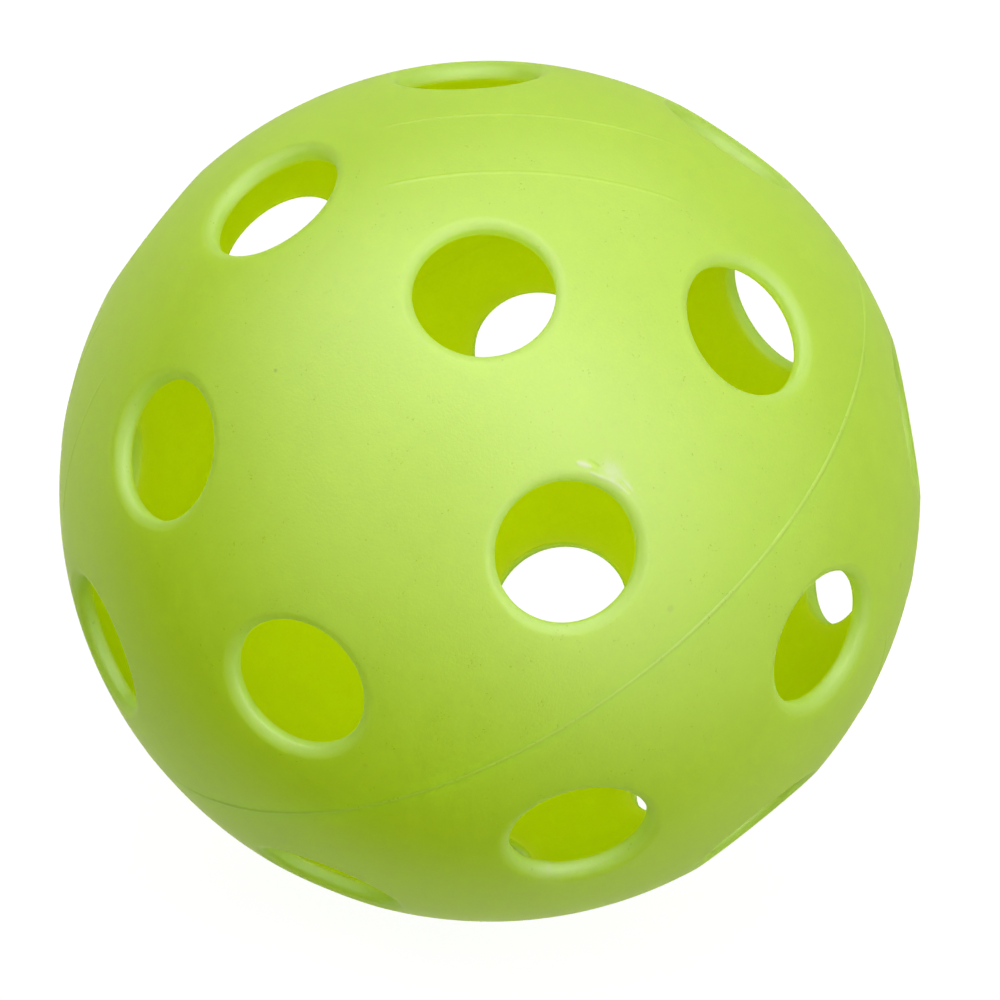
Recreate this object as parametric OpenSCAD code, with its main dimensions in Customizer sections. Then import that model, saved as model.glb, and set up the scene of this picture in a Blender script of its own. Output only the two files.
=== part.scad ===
// Perforated practice ball: two identical moulded half shells, butt-welded
// along their rims. Millimetres. Origin at the centre of the ball, +Z up.
// The ball stands on the rim of one hole of its lower inner ring.

/* [Ball] */
// Outside diameter of the ball, a 12 inch girth
ball_d = 97; // [90:0.5:105]
// Wall thickness of the two half shells
wall = 2.2; // [2:0.1:3]

/* [Holes] */
// Diameter of every round air hole
hole_d = 15.8; // [12:0.1:18]
// Rounding radius of the outer lip of each hole
lip_r = 1.3; // [0.8:0.1:1.4]
// Angle from the pole to the inner ring of holes
inner_ring_angle = 37.3; // [35:0.1:40]
// Number of holes in the inner ring
inner_ring_count = 4; // [3:1:5]
// Angle from the pole to the outer ring of holes
outer_ring_angle = 70.3; // [68:0.1:72]
// Number of holes in the outer ring
outer_ring_count = 8; // [6:1:8]

/* [Weld] */
// Thickness of the fused layer between the two rims
weld_t = 0.4; // [0.2:0.1:0.8]
// Height of the trimmed weld line above the outer surface
weld_line_h = 0.1; // [0.1:0.05:0.3]

/* [Colour] */
// Colour of the moulded plastic
shell_colour = "#b9dd55"; // ["#b9dd55":lime, "#f2f2ee":white, "#ffd23c":yellow]

/* [Hidden] */

ball_r = ball_d / 2;
inside_r = ball_r - wall;
hole_r = hole_d / 2;

// The lip circle stands this far proud of a true tangent, so that the lip
// meets the outer surface at a clean edge.
lip_proud = 0.03;
// Height, along a hole's axis, at which the straight bore ends and the lip begins
bore_top = sqrt(pow(ball_r - lip_r + lip_proud, 2) - pow(hole_r + lip_r, 2));

// The outer ring starts at zero; the inner ring sits half a pitch round from it
outer_pitch = 360 / outer_ring_count;
inner_pitch = 360 / inner_ring_count;
inner_start = outer_pitch / 2;

// The lower half is the same moulding turned over and then turned round,
// so its holes fall between those of the upper half
lower_turn = inner_pitch + inner_start;

// Tilt that brings a hole of the lower inner ring to the bottom
rest_tilt = inner_ring_angle;

// Half the thickness of the fused layer
weld_half = weld_t / 2;
// How far the fused layer stands proud of the inside wall
weld_proud = 0.05;
// Radius of the small outer ridge, and where its centre lies
ridge_r = 0.35;
ridge_at = ball_r + weld_line_h - ridge_r;

module as_it_stands() { rotate([rest_tilt, 0, 0]) children(); }

// Cross-section of the wall on one side of the weld, right of the axis
module wall_section()
    difference() {
        intersection() {
            circle(ball_r, $fn = 240);
            translate([0, weld_half]) square([ball_r + 1, ball_r + 1]);
        }
        circle(inside_r, $fn = 240);
    }

// Cutter for one air hole, along +Z: straight bore with a rounded lip
module air_hole()
    rotate_extrude($fn = 96) {
        translate([0, inside_r - 12]) square([hole_r, bore_top - inside_r + 12]);
        difference() {
            translate([0, bore_top]) square([hole_r + lip_r, lip_r + 3]);
            translate([hole_r + lip_r, bore_top]) circle(lip_r, $fn = 64);
        }
    }

// An air hole at an angle from the pole and an angle round it
module air_hole_at(from_pole, round) rotate([0, from_pole, round]) air_hole();

// One moulding: half a hollow ball with a pole hole and two rings of holes
module half_shell()
    difference() {
        rotate_extrude($fn = 240) wall_section();
        air_hole();
        for (i = [0 : inner_ring_count - 1])
            air_hole_at(inner_ring_angle, inner_start + i * inner_pitch);
        for (i = [0 : outer_ring_count - 1])
            air_hole_at(outer_ring_angle, i * outer_pitch);
    }

module upper_half_shell()
    color(shell_colour) as_it_stands() half_shell();

module lower_half_shell()
    color(shell_colour) as_it_stands()
        rotate([0, 0, lower_turn]) rotate([180, 0, 0]) half_shell();

// Ring of melt that joins the two rims: a thin layer between them, almost
// flush inside, with a fine trimmed ridge outside
module weld_bead()
    color(shell_colour) as_it_stands()
        rotate_extrude($fn = 240)
            difference() {
                union() {
                    translate([inside_r - weld_proud, -weld_half]) square([wall + weld_proud, weld_t]);
                    translate([ridge_at, 0]) circle(ridge_r, $fn = 48);
                }
                wall_section();
                mirror([0, 1]) wall_section();
            }

upper_half_shell();
lower_half_shell();
weld_bead();
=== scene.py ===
import math

import bpy
import numpy as np
from mathutils import Matrix, Vector
from mathutils.geometry import delaunay_2d_cdt


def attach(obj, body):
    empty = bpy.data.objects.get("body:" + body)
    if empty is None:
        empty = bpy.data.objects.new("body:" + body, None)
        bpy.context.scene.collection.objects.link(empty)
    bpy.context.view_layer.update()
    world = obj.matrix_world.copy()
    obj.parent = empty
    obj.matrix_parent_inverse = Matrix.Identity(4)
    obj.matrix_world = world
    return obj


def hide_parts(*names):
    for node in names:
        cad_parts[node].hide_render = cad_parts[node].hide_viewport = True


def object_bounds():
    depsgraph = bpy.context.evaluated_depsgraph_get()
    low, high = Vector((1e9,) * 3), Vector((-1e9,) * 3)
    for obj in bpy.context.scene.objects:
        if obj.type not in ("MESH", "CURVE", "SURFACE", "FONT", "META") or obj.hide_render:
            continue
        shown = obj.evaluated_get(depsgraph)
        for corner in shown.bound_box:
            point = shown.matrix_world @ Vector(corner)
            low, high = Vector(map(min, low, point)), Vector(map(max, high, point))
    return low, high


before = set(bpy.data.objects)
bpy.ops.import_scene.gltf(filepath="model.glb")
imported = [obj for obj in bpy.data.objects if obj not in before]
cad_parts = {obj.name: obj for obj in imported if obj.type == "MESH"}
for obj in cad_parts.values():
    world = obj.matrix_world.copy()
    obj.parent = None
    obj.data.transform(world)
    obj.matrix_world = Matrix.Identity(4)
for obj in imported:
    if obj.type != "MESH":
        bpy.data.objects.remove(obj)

cad_lo, cad_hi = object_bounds()

# ---------------------------------------------------------------- sizes, in mm
R = 48.5                 # outside radius
WALL = 2.2
RI = R - WALL            # inside radius
HOLE_R = 7.9
LIP_A, LIP_B = 1.4, 1.1   # how far a hole's soft lip reaches outwards and down the bore
LIP_K1, LIP_K2 = 0.52, 0.45  # how tight its corner is, on the outside and in the bore
EDGE_R = 0.25            # rounding of a hole's inner edge
RIM_Z, RIM_IN = 0.2, 0.006  # half the thickness of the fused layer, outside and inside
INNER_RING, OUTER_RING = 37.3, 70.3
TILT = math.radians(INNER_RING)
LOWER_TURN = math.radians(112.5)
N_RIM = 720

LIP_RHO = HOLE_R + LIP_A                  # where the lip runs out into the ball
LIP_T = math.asin(LIP_RHO / R)            # the same as an angle from the hole's axis
THIN_REACH = 0.9                          # how far from a hole's edge the wall glows
GOLDEN = math.pi * (3 - math.sqrt(5))


def direction(from_pole, round_):
    t, a = math.radians(from_pole), math.radians(round_)
    return np.array([math.sin(t) * math.cos(a), math.sin(t) * math.sin(a), math.cos(t)])


def tangents(from_pole, round_):
    """South (away from the pole) and east directions on the ball."""
    t, a = math.radians(from_pole), math.radians(round_)
    south = np.array([math.cos(t) * math.cos(a), math.cos(t) * math.sin(a), -math.sin(t)])
    east = np.array([-math.sin(a), math.cos(a), 0.0])
    return south, east


HOLES = [(0.0, 0.0)]
HOLES += [(INNER_RING, 22.5 + 90 * i) for i in range(4)]
HOLES += [(OUTER_RING, 45.0 * i) for i in range(8)]


def rot_x(a):
    c, s = math.cos(a), math.sin(a)
    return np.array([[1, 0, 0], [0, c, -s], [0, s, c]])


def rot_z(a):
    c, s = math.cos(a), math.sin(a)
    return np.array([[c, -s, 0], [s, c, 0], [0, 0, 1]])


STAND = rot_x(TILT)                                   # ball frame to the frame it stands in
UPPER = STAND
LOWER = STAND @ rot_z(LOWER_TURN) @ rot_x(math.pi)    # one moulding, turned over and turned round


# ---------------------------------------------------------------- small deterministic noise
def hash01(i, j, k, seed):
    n = (i * 374761393 + j * 668265263 + k * 2147483647 + seed * 1274126177) & 0xFFFFFFFF
    n = ((n ^ (n >> 13)) * 1274126177) & 0xFFFFFFFF
    n = n ^ (n >> 16)
    return (n & 0xFFFFFF) / float(0xFFFFFF)


def value_noise(p, scale, seed):
    """Smooth value noise in -1..1 at points p (n, 3)."""
    q = np.asarray(p, float) * scale + 1000.0
    f = np.floor(q)
    t = q - f
    t = t * t * t * (t * (t * 6 - 15) + 10)
    i = f.astype(np.int64)
    out = np.zeros(len(q))
    for dx in (0, 1):
        for dy in (0, 1):
            for dz in (0, 1):
                w = (t[:, 0] if dx else 1 - t[:, 0]) * (t[:, 1] if dy else 1 - t[:, 1]) * (t[:, 2] if dz else 1 - t[:, 2])
                out += w * hash01(i[:, 0] + dx, i[:, 1] + dy, i[:, 2] + dz, seed)
    return out * 2 - 1


def smooth(a, b, x):
    t = np.clip((np.asarray(x, float) - a) / (b - a), 0, 1)
    return t * t * (3 - 2 * t)


# ---------------------------------------------------------------- raised border lines on the moulding
BANDS = ((67.5, 15.6, 55.7), (247.5, 33.0, 57.0))    # meridian of each bare band, and where along it the band starts and ends
BAND_HALF = 5.5                # mm from the meridian to each line
LINE_W, LINE_H = 0.34, 0.065   # half width and height of a line


def line_points():
    """Rows of points along the border lines, so that the raised lines are real shape."""
    out = []
    rows = (0, 0.07, -0.07, 0.14, -0.14, 0.21, -0.21, 0.29, -0.29, 0.42, -0.42)
    for az, start, end in BANDS:
        a0, a1 = math.radians(start - 1.2), math.radians(end + 1.2)
        n = int((a1 - a0) * R / 0.38)
        m = math.radians(az)
        east = np.array([-math.sin(m), math.cos(m), 0.0])
        fwd = np.array([math.cos(m), math.sin(m), 0.0])
        for side in (-1, 1):
            for j, off in enumerate(rows):
                t = side * BAND_HALF + off
                rr = math.sqrt(R * R - t * t)
                for i in range(n + 1):
                    a = a0 + (a1 - a0) * (i + 0.5 * (j % 2)) / n
                    out.append(t * east + rr * (math.sin(a) * fwd + math.cos(a) * np.array([0, 0, 1.0])))
    return np.array(out)


def line_height(p):
    h = np.zeros(len(p))
    for az, start, end in BANDS:
        m = math.radians(az)
        east = np.array([-math.sin(m), math.cos(m), 0.0])
        fwd = np.array([math.cos(m), math.sin(m), 0.0])
        t = p @ east
        a = np.degrees(np.arctan2(p @ fwd, p[:, 2]))
        on = (p @ fwd > 0) * smooth(start - 0.6, start + 2.2, a) * (1 - smooth(end - 2.2, end + 0.6, a))
        d = np.abs(np.abs(t) - BAND_HALF) / LINE_W
        h += on * LINE_H * np.where(d < 1, 0.5 + 0.5 * np.cos(np.pi * np.clip(d, 0, 1)), 0)
    return h


# ---------------------------------------------------------------- half shell
def stereo(p):
    return p[:, :2] / (np.linalg.norm(p, axis=1) + p[:, 2])[:, None]


def triangulate(p):
    """Delaunay triangles of points on a half ball, through its conformal map."""
    uv = stereo(p)
    got = delaunay_2d_cdt([Vector((float(a), float(b))) for a, b in uv], [], [], 0, 1e-10)
    back = [o[0] for o in got[3]]
    tri = np.array([[back[i] for i in f] for f in got[2]])
    a, b, c = uv[tri[:, 0]], uv[tri[:, 1]], uv[tri[:, 2]]
    area = (b[:, 0] - a[:, 0]) * (c[:, 1] - a[:, 1]) - (b[:, 1] - a[:, 1]) * (c[:, 0] - a[:, 0])
    tri[area < 0] = tri[area < 0][:, ::-1]
    return tri


def fibonacci(radius, spacing, z_low):
    n = int(2 * math.pi * radius * (radius - z_low) / (spacing * spacing * 0.866))
    i = np.arange(n)
    z = radius - (radius - z_low) * (i + 0.5) / n
    a = i * GOLDEN
    rr = np.sqrt(radius * radius - z * z)
    return np.stack([rr * np.cos(a), rr * np.sin(a), z], 1)


def ring(hole, n, rho, h, phase=0.0):
    d = direction(*hole)
    south, east = tangents(*hole)
    a = (np.arange(n) + phase) * 2 * math.pi / n
    return rho * (np.cos(a)[:, None] * south + np.sin(a)[:, None] * east) + h * d


def on_ball(radius, rho):
    return math.sqrt(radius * radius - rho * rho)


def lip_profile(steps):
    """Points (radius, height, normal) down a lip, from the ball's surface to the straight bore."""
    p0 = np.array([LIP_RHO, on_ball(R, LIP_RHO)])
    corner = np.array([HOLE_R, p0[1] + LIP_A * math.tan(LIP_T)])
    p3 = corner - [0, LIP_B]
    p1, p2 = p0 + LIP_K1 * (corner - p0), p3 + LIP_K2 * (corner - p3)
    out = []
    for i in range(1, steps + 1):
        u = i / steps
        at = (1 - u) ** 3 * p0 + 3 * u * (1 - u) ** 2 * p1 + 3 * u * u * (1 - u) * p2 + u ** 3 * p3
        to = (1 - u) ** 2 * (p1 - p0) + 2 * u * (1 - u) * (p2 - p1) + u * u * (p3 - p2)
        to /= np.linalg.norm(to)
        out.append((at[0], at[1], to[1], -to[0]))
    return out


def half_shell(marks):
    """One moulding, in mm. marks: {hole index: (height, wear) functions of points near that hole}."""
    rho_t = LIP_RHO
    pts, tag = [], []            # outer surface points, and which hole's edge ring each is on
    ring_at, counts, reach = {}, {}, {}
    total = 0

    def add(p, t=-1):
        nonlocal total
        first = total
        pts.append(p)
        tag.append(np.full(len(p), t))
        total += len(p)
        return first

    for k, hole in enumerate(HOLES):
        fine = k in marks
        n = 420 if fine else 132
        counts[k] = n
        ring_at[k] = add(ring(hole, n, rho_t, on_ball(R, rho_t)), k)
        more = np.arange(0.13, 2.0, 0.13) if fine else (0.35, 0.8, 1.4)
        for j, extra in enumerate(more):
            m = n if j < (9 if fine else 2) else (n * 2 // 3 if not fine else n // 2)
            rho = rho_t + extra
            add(ring(hole, m, rho, on_ball(R, rho), 0.5 * ((j + 1) % 2)))
        reach[k] = math.asin((rho_t + more[-1]) / R) + (0.5 if not fine else 0.3) / R
    a = np.arange(N_RIM) * 2 * math.pi / N_RIM
    rim = np.stack([np.cos(a), np.sin(a), np.zeros(N_RIM)], 1)
    rim_outer = add(rim * on_ball(R, RIM_Z) + [0, 0, RIM_Z])
    for z, half in ((0.45, 0.5), (0.85, 0.0)):
        b = (np.arange(N_RIM) + half) * 2 * math.pi / N_RIM
        add(np.stack([np.cos(b), np.sin(b), 0 * b], 1) * on_ball(R, z) + [0, 0, z])
    lines = line_points()
    add(lines)
    fill = fibonacci(R, 0.86, RIM_Z)
    keep = fill[:, 2] > 1.35
    for k, hole in enumerate(HOLES):
        keep &= fill @ direction(*hole) < R * math.cos(reach[k])
    for az, start, end in BANDS:
        m = math.radians(az)
        east = np.array([-math.sin(m), math.cos(m), 0.0])
        fwd = np.array([math.cos(m), math.sin(m), 0.0])
        an = np.degrees(np.arctan2(fill @ fwd, fill[:, 2]))
        near = (np.abs(np.abs(fill @ east) - BAND_HALF) < 0.8) & (fill @ fwd > 0) & (an > start - 1.9) & (an < end + 1.9)
        keep &= ~near
    add(fill[keep])
    outer = np.concatenate(pts)
    tags = np.concatenate(tag)
    tri = triangulate(outer)
    t = tags[tri]
    tri = tri[~((t[:, 0] >= 0) & (t[:, 0] == t[:, 1]) & (t[:, 1] == t[:, 2]))]

    verts = [outer]
    nrm = [outer / R]
    uv_a = [stereo(outer)]
    count = len(outer)
    faces_a = [tuple(int(i) for i in f) for f in tri]
    last_ring = {}
    for k, hole in enumerate(HOLES):
        n = counts[k]
        fine = k in marks
        d = direction(*hole)
        prof = lip_profile(34 if fine else 16)
        top, low = prof[-1][1], on_ball(RI, HOLE_R) + EDGE_R
        for s in (1, 2):
            prof.append((HOLE_R, top + (low - top) * s / 2, -1.0, 0.0))
        for deg in (30, 60, 90):
            c = math.radians(deg)
            rho = HOLE_R + EDGE_R * (1 - math.cos(c))
            prof.append((rho, on_ball(RI, rho) + EDGE_R * (1 - math.sin(c)), -math.cos(c), -math.sin(c)))
        before = ring_at[k] + np.arange(n)
        for s, (rho, h, nr, nh) in enumerate(prof):
            p = ring(hole, n, rho, h)
            unit = (p - np.outer(p @ d, d)) / rho
            verts.append(p)
            nrm.append(nr * unit + nh * d)
            shrink = LIP_T * (1 - 0.62 * (s + 1) / len(prof))
            uv_a.append(stereo(ring(hole, n, R * math.sin(shrink), R * math.cos(shrink))))
            now = count + np.arange(n)
            count += n
            for i in range(n):
                j = (i + 1) % n
                faces_a.append((int(before[i]), int(before[j]), int(now[j]), int(now[i])))
            before = now
        last_ring[k] = before[0]
    n_a = count

    # inside of the ball
    inner, itag = [], []
    own = []
    for k, hole in enumerate(HOLES):
        n = counts[k]
        rho = HOLE_R + EDGE_R
        inner.append(ring(hole, n, rho, on_ball(RI, rho)))
        itag.append(np.full(n, k))
        own.append(last_ring[k] + np.arange(n))
        for j, extra in enumerate((0.3, 0.7, 1.2, 1.8, 2.5)):
            p = ring(hole, 96 if j < 3 else 72, rho + extra, on_ball(RI, rho + extra), 0.5 * (j % 2))
            inner.append(p)
            itag.append(np.full(len(p), -1))
            own.append(np.full(len(p), -1))
    rim_in = rim * on_ball(RI, RIM_IN) + [0, 0, RIM_IN]
    inner.append(rim_in)
    itag.append(np.full(N_RIM, -1))
    own.append(np.full(N_RIM, -2))
    b = (np.arange(N_RIM // 2) + 0.25) * 4 * math.pi / N_RIM
    p = np.stack([np.cos(b), np.sin(b), 0 * b], 1) * on_ball(RI, 0.9) + [0, 0, 0.9]
    inner.append(p)
    itag.append(np.full(len(p), -1))
    own.append(np.full(len(p), -1))
    fill = fibonacci(RI, 1.5, RIM_Z)
    keep = fill[:, 2] > 1.7
    for hole in HOLES:
        keep &= fill @ direction(*hole) < RI * math.cos(math.asin((HOLE_R + EDGE_R + 2.5) / RI) + 0.8 / RI)
    inner.append(fill[keep])
    itag.append(np.full(int(keep.sum()), -1))
    own.append(np.full(int(keep.sum()), -1))
    inner, itag, own = np.concatenate(inner), np.concatenate(itag), np.concatenate(own)
    tri = triangulate(inner)
    t = itag[tri]
    tri = tri[~((t[:, 0] >= 0) & (t[:, 0] == t[:, 1]) & (t[:, 1] == t[:, 2]))]
    index = own.copy()
    fresh = own < 0
    index[fresh] = count + np.arange(int(fresh.sum()))
    rim_inner = index[own == -2]
    verts.append(inner[fresh])
    nrm.append(-inner[fresh] / RI)
    count += int(fresh.sum())
    faces_b = [tuple(int(index[i]) for i in f[::-1]) for f in tri]

    # rim, with one row of points between its edges: it slopes a little, so that the weld fills a shallow vee
    mid = count + np.arange(N_RIM)
    verts.append(rim * ((on_ball(R, RIM_Z) + on_ball(RI, RIM_IN)) / 2) + [0, 0, (RIM_Z + RIM_IN) / 2])
    nrm.append(np.tile([0.0, 0.0, -1.0], (N_RIM, 1)))
    count += N_RIM
    faces_c = []
    out_i = rim_outer + np.arange(N_RIM)
    for one, two in ((out_i, mid), (mid, rim_inner)):
        for i in range(N_RIM):
            j = (i + 1) % N_RIM
            faces_c.append((int(one[i]), int(two[i]), int(two[j]), int(one[j])))

    verts, nrm = np.concatenate(verts), np.concatenate(nrm)
    # relief: raised lines, a slow unevenness of the moulding, and marks on two lips
    n_outer = len(outer)
    lift = np.zeros(len(verts))
    wear = np.zeros(len(verts))
    fade = smooth(0.3, 4.0, outer[:, 2])
    lift[:n_outer] += line_height(outer)
    lift[:n_outer] += fade * (0.018 * value_noise(outer, 1 / 13.0, 3) + 0.008 * value_noise(outer, 1 / 5.0, 4))
    for k, (height, worn) in marks.items():
        south, east = tangents(*HOLES[k])
        d = direction(*HOLES[k])
        sel = np.where((verts @ d > 30) & (np.linalg.norm(verts - np.outer(verts @ d, d), axis=1) < 13))[0]
        sel = sel[sel < n_a]
        e, s = verts[sel] @ east, verts[sel] @ south
        lift[sel] += height(e, s)
        wear[sel] = worn(e, s)
    # how near a point is to a hole's edge, where the wall thins out and lets more light through
    thin = np.zeros(len(verts))
    for hole in HOLES:
        d = direction(*hole)
        up = verts @ d
        rho = np.linalg.norm(verts - np.outer(up, d), axis=1)
        out = 1 - smooth(HOLE_R + 0.1, HOLE_R + 1.7, rho)
        ins = np.exp(-np.clip(rho - HOLE_R - EDGE_R, 0, None) / THIN_REACH)
        thin = np.maximum(thin, np.where(up > 30, np.where(np.arange(len(verts)) < n_a, out, ins), 0))
    verts = verts + nrm * lift[:, None]

    uv = np.zeros((count, 2))
    uv[:n_a] = np.concatenate(uv_a)
    uvb = stereo(verts)
    return verts, (faces_a, faces_b, faces_c), (uv, uvb), {"wear": wear, "thin": thin}, (out_i, rim_inner)


def put(name, verts_mm, turn, groups, smooth_groups, uvs, values, finish, sharp):
    """A mesh object in metres, in the standing frame. finish: which material each group of faces wears;
    sharp: rings of points whose edges are crisp."""
    me = bpy.data.meshes.new(name)
    v = (verts_mm @ turn.T) / 1000.0
    faces = [f for g in groups for f in g]
    me.from_pydata([tuple(map(float, x)) for x in v], [], faces)
    flat = np.concatenate([np.full(len(g), s) for g, s in zip(groups, smooth_groups)])
    me.polygons.foreach_set("use_smooth", flat.astype(bool))
    worn = np.concatenate([np.full(len(g), f) for g, f in zip(groups, finish)])
    me.polygons.foreach_set("material_index", worn.astype(np.int32))
    layer = me.uv_layers.new(name="OFBake")
    loops = np.concatenate([np.asarray(u).reshape(-1, 2) for u in uvs])
    layer.data.foreach_set("uv", loops.astype(np.float32).ravel())
    for key, value in values.items():
        at = me.attributes.new(key, "FLOAT", "POINT")
        at.data.foreach_set("value", value.astype(np.float32))
    me.update(calc_edges=True)
    ends = np.zeros(len(me.edges) * 2, np.int32)
    me.edges.foreach_get("vertices", ends)
    on = np.full(len(v), -1)
    for k, points in enumerate(sharp):
        on[points] = k
    pair = on[ends.reshape(-1, 2)]
    crisp = me.attributes.get("sharp_edge") or me.attributes.new("sharp_edge", "BOOLEAN", "EDGE")
    crisp.data.foreach_set("value", (pair[:, 0] == pair[:, 1]) & (pair[:, 0] >= 0))
    me.validate()
    ob = bpy.data.objects.new(name, me)
    bpy.context.scene.collection.objects.link(ob)
    return ob


def shell_uvs(groups, maps):
    """Outside and lips on one round island, the inside on another, the rim as a thin ring."""
    faces_a, faces_b, faces_c = groups
    a, b = maps
    ia = np.array([i for f in faces_a for i in f])
    ib = np.array([i for f in faces_b for i in f])
    ic = np.array([i for f in faces_c for i in f])
    ua = a[ia] * 0.36 + [0.368, 0.632]
    ub = b[ib] * 0.138 + [0.855, 0.145]
    rad = np.linalg.norm(b[ic], axis=1, keepdims=True)
    return ua, ub, b[ic] / rad * 0.1405 + [0.855, 0.145]


# ---------------------------------------------------------------- marks on two hole lips
def stroke(e, s, path, half):
    """1 along a path of (east, south) points in mm, falling to 0 over half a width, with tapered ends."""
    p = np.stack([e, s], 1)
    path = np.array(path, float)
    seg = np.linalg.norm(np.diff(path, axis=0), axis=1)
    start = np.concatenate([[0], np.cumsum(seg)])
    best, where = np.full(len(p), 1e9), np.zeros(len(p))
    for i in range(len(seg)):
        u = (path[i + 1] - path[i]) / seg[i]
        t = np.clip((p - path[i]) @ u, 0, seg[i])
        d = np.linalg.norm(p - path[i] - t[:, None] * u, axis=1)
        nearer = d < best
        best, where = np.where(nearer, d, best), np.where(nearer, start[i] + t, where)
    t = where / start[-1]
    width = half * (0.35 + 0.65 * np.sqrt(np.clip(4 * t * (1 - t), 0, 1)))
    return np.exp(-(best / width) ** 2)


def patch(e, s, centre, radii):
    return np.exp(-((e - centre[0]) / radii[0]) ** 2 - ((s - centre[1]) / radii[1]) ** 2)


def rough_spots(e, s, scale, seed):
    return value_noise(np.stack([e, s, 0 * e], 1), scale, seed)


# a scuff with two short gouges beside one hole of the outer ring
SLIVER = [(7.0, -7.3), (7.45, -6.7), (7.9, -6.0)]
GOUGE_1 = [(8.0, -6.8), (8.35, -6.0), (8.55, -5.3)]
FLAP = [(7.4, -5.6), (7.9, -4.7), (8.5, -3.7), (8.95, -2.7), (9.3, -1.0)]
GOUGE_2 = [(9.35, -2.9), (9.47, -2.2), (9.55, -1.0)]
BURR = [(9.78, -2.7), (9.82, -2.0), (9.82, -0.9)]


def scuff_height(e, s):
    s = s - 0.15
    rough = patch(e, s, (9.3, -4.2), (0.8, 1.5))
    h = 0.11 * stroke(e, s, SLIVER, 0.24) - 0.12 * stroke(e, s, GOUGE_1, 0.17) + 0.07 * stroke(e, s, FLAP, 0.22)
    h += -0.11 * stroke(e, s, GOUGE_2, 0.15) + 0.05 * stroke(e, s, BURR, 0.16)
    return h + rough * (0.02 + 0.035 * rough_spots(e, s, 2.4, 31))


def scuff_wear(e, s):
    s = s - 0.15
    w = 1.0 * stroke(e, s, SLIVER, 0.32) + 0.55 * stroke(e, s, FLAP, 0.3) + 0.65 * patch(e, s, (9.4, -4.0), (0.9, 1.4))
    w += 0.45 * stroke(e, s, BURR, 0.22) + 0.16 * patch(e, s, (9.5, -1.2), (0.7, 2.0))
    return np.clip(w * (0.85 + 0.3 * rough_spots(e, s, 2.0, 32)), 0, 1)


# a small gate nub and a pit beside one hole of the other half
PIT = [(8.6, -4.4), (8.42, -3.95), (8.2, -3.4)]


def nub_height(e, s):
    h = -0.10 * stroke(e, s, PIT, 0.16)
    h += 0.03 * stroke(e, s, [(8.25, -4.5), (8.1, -3.9), (7.9, -3.4)], 0.16)
    h += 0.10 * patch(e, s, (6.2, -4.6), (0.26, 0.26)) - 0.06 * patch(e, s, (5.75, -4.0), (0.3, 0.3))
    h += 0.06 * stroke(e, s, [(5.2, -3.9), (5.15, -4.3), (5.05, -4.7)], 0.16)
    haze = patch(e, s, (6.2, -4.0), (1.3, 1.9))
    return h + haze * (0.02 + 0.02 * rough_spots(e, s, 2.2, 33))


def nub_wear(e, s):
    w = 0.30 * patch(e, s, (6.2, -4.0), (1.5, 2.1)) + 0.5 * patch(e, s, (6.2, -4.6), (0.3, 0.3))
    w += 0.35 * stroke(e, s, [(5.2, -3.9), (5.15, -4.3), (5.05, -4.7)], 0.2)
    return np.clip(w * (0.85 + 0.3 * rough_spots(e, s, 2.0, 34)), 0, 1)


upper_marks = {5: (scuff_height, scuff_wear)}
lower_marks = {8: (nub_height, nub_wear)}

uv_mesh = half_shell(upper_marks)
upper = put("shell_upper", uv_mesh[0], UPPER, uv_mesh[1], (1, 1, 0), shell_uvs(uv_mesh[1], uv_mesh[2]), uv_mesh[3], (0, 1, 2), uv_mesh[4])
lv_mesh = half_shell(lower_marks)
lower = put("shell_lower", lv_mesh[0], LOWER, lv_mesh[1], (1, 1, 0), shell_uvs(lv_mesh[1], lv_mesh[2]), lv_mesh[3], (0, 1, 2), lv_mesh[4])


# ---------------------------------------------------------------- weld bead
def weld_ridge(az):
    """Height of the weld's outer line round the seam, in mm."""
    a = (np.asarray(az, float) + 180) % 360 - 180
    h = np.full(len(a), 0.024)
    h += (0.016 - h) * smooth(-59, -55, a) * (1 - smooth(-6, 2, a))
    h += (0.040 - h) * smooth(2, 7, a) * (1 - smooth(74, 84, a))
    h += 0.032 * smooth(26, 36, a) * (1 - smooth(74, 84, a))
    h += (0.065 - h) * smooth(-84, -76, a) * (1 - smooth(-61, -58, a))
    h += 0.03 * np.exp(-((a - 25) / 0.9) ** 2)
    return h


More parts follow.
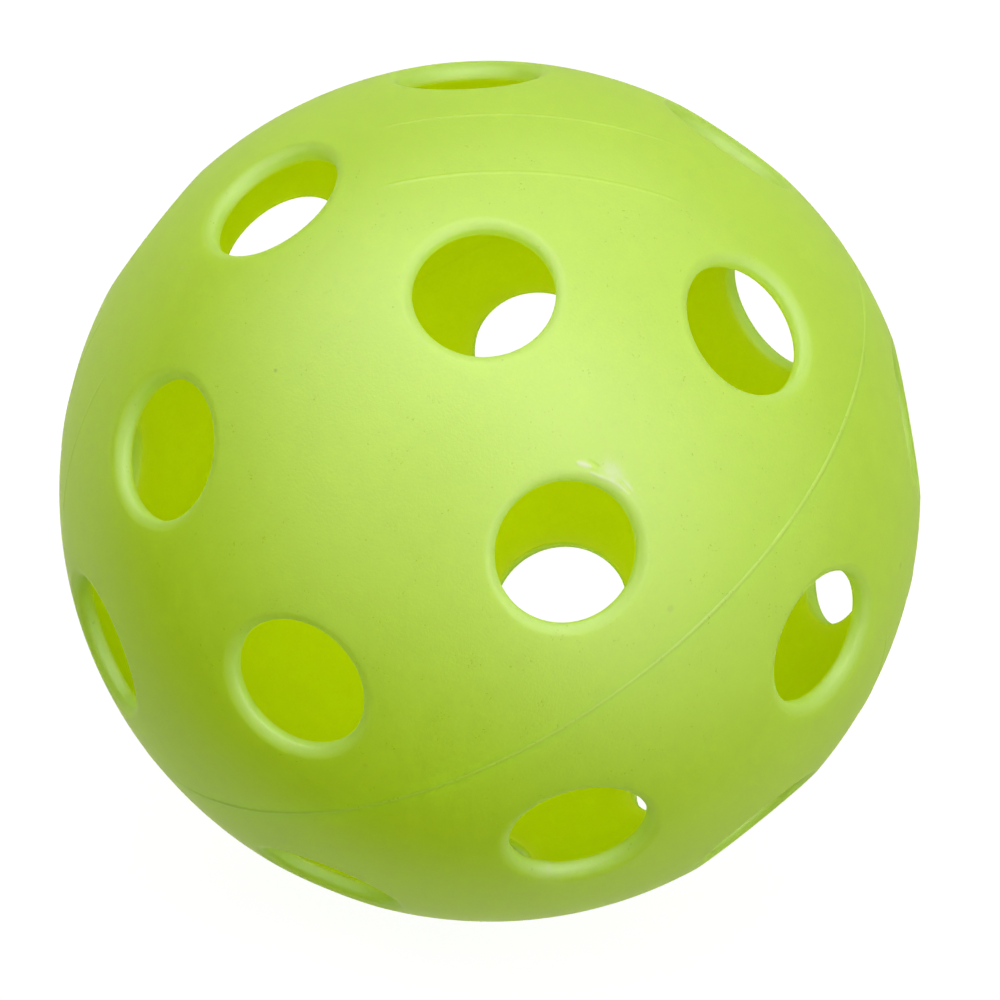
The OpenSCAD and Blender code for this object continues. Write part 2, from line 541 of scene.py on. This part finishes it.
def weld_mesh():
    n = 1440
    az = np.arange(n) * 360.0 / n
    circle = np.stack([np.cos(np.radians(az)), np.sin(np.radians(az)), 0 * az], 1)
    wob = value_noise(circle * 48.5, 1 / 3.0, 11)
    fine = value_noise(circle * 48.5, 1 / 0.8, 12)
    h = weld_ridge(az) * (1 + 0.25 * wob + 0.15 * fine)
    w = 0.36 + 0.03 * value_noise(circle * 48.5, 1 / 6.0, 13) + 0.015 * fine
    off = 0.03 * value_noise(circle * 48.5, 1 / 9.0, 14)
    rows, soft = [], []
    for s in np.linspace(-1, 1, 13):
        rows.append((R - 0.03 + (h + 0.03) * (1 - s * s), s * w + off))
        soft.append(s < 1)
    for rho, z in ((R - 0.25, 0.165), (RI + 1.2, 0.098), (RI + 0.3, 0.022), (RI + 0.3, -0.022), (RI + 1.2, -0.098), (R - 0.25, -0.165)):
        rows.append((np.full(n, rho), np.full(n, z)))
        soft.append(False)
    m = len(rows)
    verts = np.concatenate([np.stack([rho * circle[:, 0], rho * circle[:, 1], z + 0 * az], 1) for rho, z in rows])
    faces, uv = ([], []), ([], [])
    per = n // 8
    for k in range(m):
        to = 0 if soft[k] else 1
        for i in range(n):
            j, l = (i + 1) % n, (k + 1) % m
            # rows climb in z on the outside, and az grows to the left, so this order faces out
            faces[to].append((k * n + i, k * n + j, l * n + j, l * n + i))
            seg, t = divmod(i, per)
            u0, u1 = 0.01 + 0.98 * t / per, 0.01 + 0.98 * (t + 1) / per
            v0, v1 = (seg + 0.04 + 0.9 * k / m) / 8, (seg + 0.04 + 0.9 * (k + 1) / m) / 8
            uv[to].extend([(u0, v0), (u1, v0), (u1, v1), (u0, v1)])
    return verts, faces, uv


wv, wf, wuv = weld_mesh()
weld = put("weld_ring", wv, STAND, wf, (1, 0), wuv, {}, (0, 1), (np.arange(1440), 12 * 1440 + np.arange(1440)))


# ---------------------------------------------------------------- materials
def material(name):
    m = bpy.data.materials.new(name)
    m.use_nodes = True
    m.node_tree.nodes.clear()
    return m


class Nodes:
    def __init__(self, mat):
        self.t = mat.node_tree

    def new(self, kind, **sets):
        n = self.t.nodes.new(kind)
        for k, v in sets.items():
            setattr(n, k, v)
        return n

    def link(self, a, b):
        self.t.links.new(a, b)

    def noise(self, at, scale, detail=2.0, rough=0.5):
        n = self.new("ShaderNodeTexNoise", noise_dimensions="3D")
        n.inputs["Scale"].default_value = scale
        n.inputs["Detail"].default_value = detail
        n.inputs["Roughness"].default_value = rough
        self.link(at, n.inputs["Vector"])
        return n.outputs["Fac"]

    def ramp(self, x, stops):
        r = self.new("ShaderNodeValToRGB")
        el = r.color_ramp.elements
        while len(el) < len(stops):
            el.new(0.5)
        for e, (p, c) in zip(el, stops):
            e.position = p
            e.color = (*c, 1) if len(c) == 3 else c
        self.link(x, r.inputs["Fac"])
        return r.outputs["Color"]

    def range(self, x, a, b, c, d):
        r = self.new("ShaderNodeMapRange")
        for i, v in enumerate((a, b, c, d)):
            r.inputs[i + 1].default_value = v
        self.link(x, r.inputs[0])
        return r.outputs[0]

    def math(self, op, a, b=None):
        m = self.new("ShaderNodeMath", operation=op)
        for i, v in enumerate((a, b)):
            if v is None:
                continue
            if isinstance(v, (int, float)):
                m.inputs[i].default_value = v
            else:
                self.link(v, m.inputs[i])
        return m.outputs[0]

    def mix(self, fac, a, b, mode="MIX"):
        m = self.new("ShaderNodeMix", data_type="RGBA", blend_type=mode)
        for i, v in ((0, fac), (6, a), (7, b)):
            if isinstance(v, (int, float)):
                m.inputs[i].default_value = v
            elif isinstance(v, tuple):
                m.inputs[i].default_value = (*v, 1)
            else:
                self.link(v, m.inputs[i])
        return m.outputs[2]


def plastic(name, skin, through, inside, rough, share, ior, specular, thin_share, lip, pale, grain_depth, bend, specks=()):
    """Lime polyethylene that lets light through. skin and through: colour of the light sent back and let through;
    inside: a yellower colour painted on the wall towards the inside of the ball, painted bounce light from inside the
    ball; share: how much light goes through, and thin_share how much more at the thin edge of a hole, where pale is
    the colour let through and lip a paler colour mixed into the skin, a painted glow of light bleeding through the
    thin edge; bend: how soft its shading is there;
    specks: small spots on the skin (place and size in mm, strength, colour)."""
    mat = material(name)
    g = Nodes(mat)
    out = g.new("ShaderNodeOutputMaterial")
    bsdf = g.new("ShaderNodeBsdfPrincipled")
    glow = g.new("ShaderNodeBsdfTranslucent")
    both = g.new("ShaderNodeMixShader")
    g.link(bsdf.outputs[0], both.inputs[1])
    g.link(glow.outputs[0], both.inputs[2])
    g.link(both.outputs[0], out.inputs["Surface"])
    at = g.new("ShaderNodeTexCoord").outputs["Object"]
    slow = g.noise(at, 55, 3, 0.55)
    mottle = g.noise(at, 420, 3, 0.6)
    grain = g.noise(at, 3000, 2, 0.6)
    shade = g.range(slow, 0.3, 0.7, 0.97, 1.0)
    shade = g.math("MULTIPLY", shade, g.range(mottle, 0.3, 0.7, 0.985, 1.01))
    shade = g.math("MULTIPLY", shade, g.range(grain, 0.3, 0.7, 0.985, 1.01))
    tone = g.new("ShaderNodeCombineColor")
    for i in range(3):
        g.link(shade, tone.inputs[i])
    colour = g.mix(1.0, skin, tone.outputs[0], "MULTIPLY")
    wear = g.new("ShaderNodeAttribute", attribute_name="wear").outputs["Fac"]
    thin = g.new("ShaderNodeAttribute", attribute_name="thin").outputs["Fac"]
    # painted glow: near a hole's edge the base colour is mixed towards the paler lip colour, standing in for light
    # bleeding through the thin edge
    colour = g.mix(g.range(thin, 0.0, 1.0, 0.0, 0.7), colour, lip)
    passed = g.range(thin, 0.0, 1.0, share, share + thin_share)
    # painted bounce light: towards the inside of the wall the bore's base colour turns to the yellower inside colour,
    # standing in for light bounced round inside the ball; more light also goes through there
    if inside is not None:
        far = g.new("ShaderNodeVectorMath", operation="LENGTH")
        g.link(at, far.inputs[0])
        deep = g.range(far.outputs["Value"], 0.0463, 0.0470, 1.0, 0.0)
        colour = g.mix(deep, colour, inside)
        passed = g.math("ADD", passed, g.math("MULTIPLY", deep, 0.30))
    colour = g.mix(wear, colour, (0.92, 0.96, 0.74))
    for place, size, strength, hue in specks:
        away = g.new("ShaderNodeVectorMath", operation="DISTANCE")
        g.link(at, away.inputs[0])
        away.inputs[1].default_value = [c / 1000.0 for c in place]
        on = g.range(away.outputs["Value"], size * 0.0005, size * 0.0012, strength, 0.0)
        colour = g.mix(on, colour, hue)
    g.link(colour, bsdf.inputs["Base Color"])
    g.link(g.mix(1.0, g.mix(thin, through, pale), tone.outputs[0], "MULTIPLY"), glow.inputs["Color"])
    g.link(passed, both.inputs[0])
    r = g.math("ADD", g.range(mottle, 0.3, 0.7, rough - 0.04, rough + 0.04), g.range(grain, 0.3, 0.7, -0.07, 0.07))
    # the blasted skin loses its gloss where it is seen at a low angle
    low = g.new("ShaderNodeLayerWeight")
    low.inputs["Blend"].default_value = 0.5
    g.link(g.math("ADD", r, g.range(low.outputs["Facing"], 0.40, 0.80, 0.0, 0.5)), bsdf.inputs["Roughness"])
    # at a thin edge light bleeds through the plastic, so it is shaded partly as the open surface round it
    open_way = g.new("ShaderNodeVectorMath", operation="NORMALIZE")
    g.link(at, open_way.inputs[0])
    true_way = g.new("ShaderNodeNewGeometry").outputs["Normal"]
    bent = g.new("ShaderNodeMix", data_type="VECTOR")
    g.link(g.range(thin, 0.0, 1.0, 0.0, bend), bent.inputs[0])
    g.link(true_way, bent.inputs[4])
    g.link(open_way.outputs[0], bent.inputs[5])
    way = g.new("ShaderNodeVectorMath", operation="NORMALIZE")
    g.link(bent.outputs[1], way.inputs[0])
    bump = g.new("ShaderNodeBump")
    g.link(way.outputs[0], bump.inputs["Normal"])
    bump.inputs["Strength"].default_value = 0.5
    bump.inputs["Distance"].default_value = grain_depth
    g.link(grain, bump.inputs["Height"])
    wide = g.new("ShaderNodeBump")
    wide.inputs["Strength"].default_value = 0.10
    wide.inputs["Distance"].default_value = 0.0001
    g.link(mottle, wide.inputs["Height"])
    g.link(bump.outputs[0], wide.inputs["Normal"])
    g.link(wide.outputs[0], bsdf.inputs["Normal"])
    if bend:
        bsdf.subsurface_method = "BURLEY"
        bsdf.inputs["Subsurface Weight"].default_value = 1.0
        bsdf.inputs["Subsurface Radius"].default_value = (1.0, 1.0, 0.4)
        bsdf.inputs["Subsurface Scale"].default_value = 0.0024
        # a faint dusty bloom, seen near the edge of the ball
        bsdf.inputs["Sheen Weight"].default_value = 0.2
        bsdf.inputs["Sheen Roughness"].default_value = 0.3
        bsdf.inputs["Sheen Tint"].default_value = (1.0, 0.75, 0.85, 1.0)
    bsdf.inputs["IOR"].default_value = ior
    bsdf.inputs["Specular IOR Level"].default_value = specular
    return mat


# the skin colour is the plastic's own; the second colour is that of light let through the wall, and worn as the inside
# wall's base colour it is a yellower painted copy of the plastic: painted bounce light from inside the ball
SKIN, THROUGH_AND_PAINTED_BOUNCE = (0.57, 0.925, 0.010), (0.93, 0.97, 0.006)
# paler colours painted near the holes' edges, the lip colour outside and the edge colour inside: a painted glow of
# light bleeding through the thin edges. The pale colour, and the edge colour on the inside, are also what the wall
# lets through there
PALE, PAINTED_LIP_GLOW, EDGE = (0.86, 0.98, 0.22), (0.66, 0.96, 0.20), (0.97, 0.985, 0.12)
DIRT, CHALK = (0.10, 0.14, 0.01), (0.90, 0.95, 0.60)
SPECKS = (
    ((20.09, -35.37, 26.41), 0.24, 0.60, DIRT),
    ((33.77, -14.36, 31.45), 0.16, 0.75, DIRT),
    ((48.03, 1.73, 6.46), 0.45, 0.20, DIRT),
    ((14.02, -21.48, 41.16), 0.36, 0.12, DIRT),
    ((31.46, 36.89, 0.99), 0.42, 0.25, DIRT),
    ((36.66, -28.22, -14.55), 0.36, 0.14, DIRT),
    ((-2.09, -38.22, 29.79), 0.36, 0.20, CHALK),
)
# the shell's third colour, the yellower one on the bore towards the inside, is painted bounce light
shell_mat = plastic("lime_shell_plastic", SKIN, THROUGH_AND_PAINTED_BOUNCE, (0.86, 0.97, 0.06), 0.36, 0.36, 2.0, 1.0, 0.14, PAINTED_LIP_GLOW, PALE, 0.000042, 0.3, SPECKS)
# the inside wall: a yellower copy of the plastic, painted bounce light from inside the ball, with a painted glow near
# the holes' edges
inner_painted_bounce_mat = plastic("lime_inner_plastic_painted_bounce", THROUGH_AND_PAINTED_BOUNCE, THROUGH_AND_PAINTED_BOUNCE, None, 0.5, 0.86, 1.3, 0.5, -0.40, EDGE, EDGE, 0.00004, 0.0)
weld_mat = plastic("lime_weld_plastic", (0.64, 0.95, 0.06), THROUGH_AND_PAINTED_BOUNCE, None, 0.34, 0.36, 2.0, 1.0, 0.0, PAINTED_LIP_GLOW, PALE, 0.00003, 0.0)
joint_mat = plastic("lime_joint_plastic", (0.985, 0.99, 0.3), (0.985, 0.99, 0.3), None, 0.5, 0.96, 1.3, 0.5, 0.0, EDGE, EDGE, 0.00003, 0.0)

for piece, node, mats, slot in (
    (upper, "upper_half_shell", (shell_mat, inner_painted_bounce_mat, joint_mat), "shell_plastic"),
    (lower, "lower_half_shell", (shell_mat, inner_painted_bounce_mat, joint_mat), "shell_plastic"),
    (weld, "weld_bead", (weld_mat, joint_mat), "weld_plastic"),
):
    for mat in mats:
        piece.data.materials.append(mat)
    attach(piece, "root")
    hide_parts(node)

# ---------------------------------------------------------------- camera
RIGHT = Vector((0.3694, 0.9265, 0.0717))
BACK = Vector((0.84159, -0.36628, 0.39694)).normalized()
RIGHT = (RIGHT - RIGHT.dot(BACK) * BACK).normalized()
UP = BACK.cross(RIGHT)
cam_data = bpy.data.cameras.new("camera")
cam_data.sensor_fit = "HORIZONTAL"
cam_data.sensor_width = 36.0
cam_data.lens = 470.6
cam_data.clip_start, cam_data.clip_end = 0.05, 50.0
cam = bpy.data.objects.new("camera", cam_data)
where = BACK * 1.4732 + RIGHT * 0.001149 - UP * 0.000992
cam.matrix_world = Matrix.Translation(where) @ Matrix((RIGHT, UP, BACK)).transposed().to_4x4()
bpy.context.scene.collection.objects.link(cam)
bpy.context.scene.camera = cam


# ---------------------------------------------------------------- floor and light
def seen(right, up, back):
    return (RIGHT * right + UP * up + BACK * back).normalized()


floor_me = bpy.data.meshes.new("floor")
z = cad_lo.z
floor_me.from_pydata([(-4, -4, z), (4, -4, z), (4, 4, z), (-4, 4, z)], [], [(0, 1, 2, 3)])
floor = bpy.data.objects.new("floor", floor_me)
bpy.context.scene.collection.objects.link(floor)
fm = material("pale_floor")
g = Nodes(fm)
fb = g.new("ShaderNodeBsdfPrincipled")
g.link(fb.outputs[0], g.new("ShaderNodeOutputMaterial").inputs["Surface"])
fat = g.new("ShaderNodeTexCoord").outputs["Object"]
g.link(g.ramp(g.noise(fat, 40, 4), [(0.0, (0.115, 0.115, 0.115)), (1.0, (0.125, 0.125, 0.125))]), fb.inputs["Base Color"])
fb.inputs["Roughness"].default_value = 0.9
fb.inputs["Specular IOR Level"].default_value = 0.0
fb.inputs["Emission Color"].default_value = (1, 1, 1, 1)
fb.inputs["Emission Strength"].default_value = 0.94
floor_me.materials.append(fm)
floor.visible_diffuse = False
floor.visible_glossy = False
floor.visible_transmission = False
floor.visible_shadow = False

world = bpy.data.worlds.new("studio")
bpy.context.scene.world = world
world.use_nodes = True
wt = world.node_tree
wt.nodes.clear()
wout = wt.nodes.new("ShaderNodeOutputWorld")
# soft boxes round the ball: (direction as the camera sees it, brightness, how sharp its edge is)
AMBIENT = 0.005
SOFT_BOXES = (
    ((0.316, 0.413, 0.854), 1.09, 9.0),
    ((0.538, -0.342, 0.771), 0.98, 9.0),
    ((-0.178, 0.661, 0.729), 0.96, 9.0),
    ((-0.528, 0.751, 0.396), 0.83, 9.0),
    ((0.497, 0.867, -0.021), 0.65, 9.0),
    ((0.717, 0.262, 0.646), 0.61, 9.0),
    ((-0.574, -0.102, 0.812), 0.57, 9.0),
    ((-0.045, 0.981, 0.188), 0.42, 9.0),
    ((0.986, 0.133, 0.104), 0.40, 9.0),
    ((0.158, 0.922, -0.354), 0.34, 9.0),
    ((0.903, -0.417, -0.104), 0.30, 9.0),
    ((0.203, 0.000, 0.979), 0.26, 9.0),
    ((0.039, -0.443, 0.896), 0.23, 9.0),
    ((0.862, 0.453, -0.229), 0.21, 9.0),
    ((0.690, -0.687, 0.229), 0.19, 9.0),
    ((-0.737, 0.304, 0.604), 0.19, 9.0),
    ((0.255, 0.815, 0.521), 0.17, 9.0),
    ((0.350, -0.749, 0.562), 0.16, 9.0),
    ((-0.382, 0.913, -0.146), 0.13, 9.0),
    ((-0.819, 0.570, 0.062), 0.11, 9.0),
    ((-0.335, -0.644, 0.688), 0.04, 9.0),
    ((-0.759, -0.440, 0.479), 0.04, 9.0),
    ((-0.219, -0.380, -0.899), 3.79, 30.0),
    ((-0.438, 0.000, -0.899), 3.57, 30.0),
    ((0.000, 0.000, -1.000), 3.19, 30.0),
    ((0.219, -0.380, -0.899), 1.71, 30.0),
    ((-0.219, 0.380, -0.899), 0.97, 30.0),
)


def wnode(kind, **sets):
    n = wt.nodes.new(kind)
    for k, v in sets.items():
        setattr(n, k, v)
    return n


def wmath(op, a, b):
    n = wnode("ShaderNodeMath", operation=op)
    for i, v in enumerate((a, b)):
        if isinstance(v, (int, float)):
            n.inputs[i].default_value = v
        elif v is not None:
            wt.links.new(v, n.inputs[i])
    return n.outputs[0]


ray = wnode("ShaderNodeTexCoord").outputs["Generated"]
total = None
for d, bright, sharp in SOFT_BOXES:
    dot = wnode("ShaderNodeVectorMath", operation="DOT_PRODUCT")
    wt.links.new(ray, dot.inputs[0])
    dot.inputs[1].default_value = seen(*d)
    lobe = wmath("MULTIPLY", wmath("EXPONENT", wmath("MULTIPLY", wmath("SUBTRACT", dot.outputs["Value"], 1.0), sharp), None), bright)
    total = wmath("ADD", lobe, AMBIENT if total is None else total)
ambient = wnode("ShaderNodeBackground")
ambient.inputs["Color"].default_value = (1, 1, 1, 1)
wt.links.new(total, ambient.inputs["Strength"])
white = wnode("ShaderNodeBackground")
white.inputs["Color"].default_value = (1, 1, 1, 1)
white.inputs["Strength"].default_value = 1.0
path = wnode("ShaderNodeLightPath")
both = wnode("ShaderNodeMixShader")
wt.links.new(path.outputs["Is Camera Ray"], both.inputs[0])
wt.links.new(ambient.outputs[0], both.inputs[1])
wt.links.new(white.outputs[0], both.inputs[2])
wt.links.new(both.outputs[0], wout.inputs["Surface"])

scene = bpy.context.scene
scene.view_settings.view_transform = "Standard"
scene.view_settings.look = "None"
scene.view_settings.exposure = 0.0
scene.view_settings.gamma = 1.0
scene.cycles.use_denoising = True
scene.cycles.max_bounces = 32
scene.cycles.diffuse_bounces = 24
scene.cycles.transmission_bounces = 24
scene.cycles.glossy_bounces = 6
scene.cycles.sample_clamp_indirect = 10.0
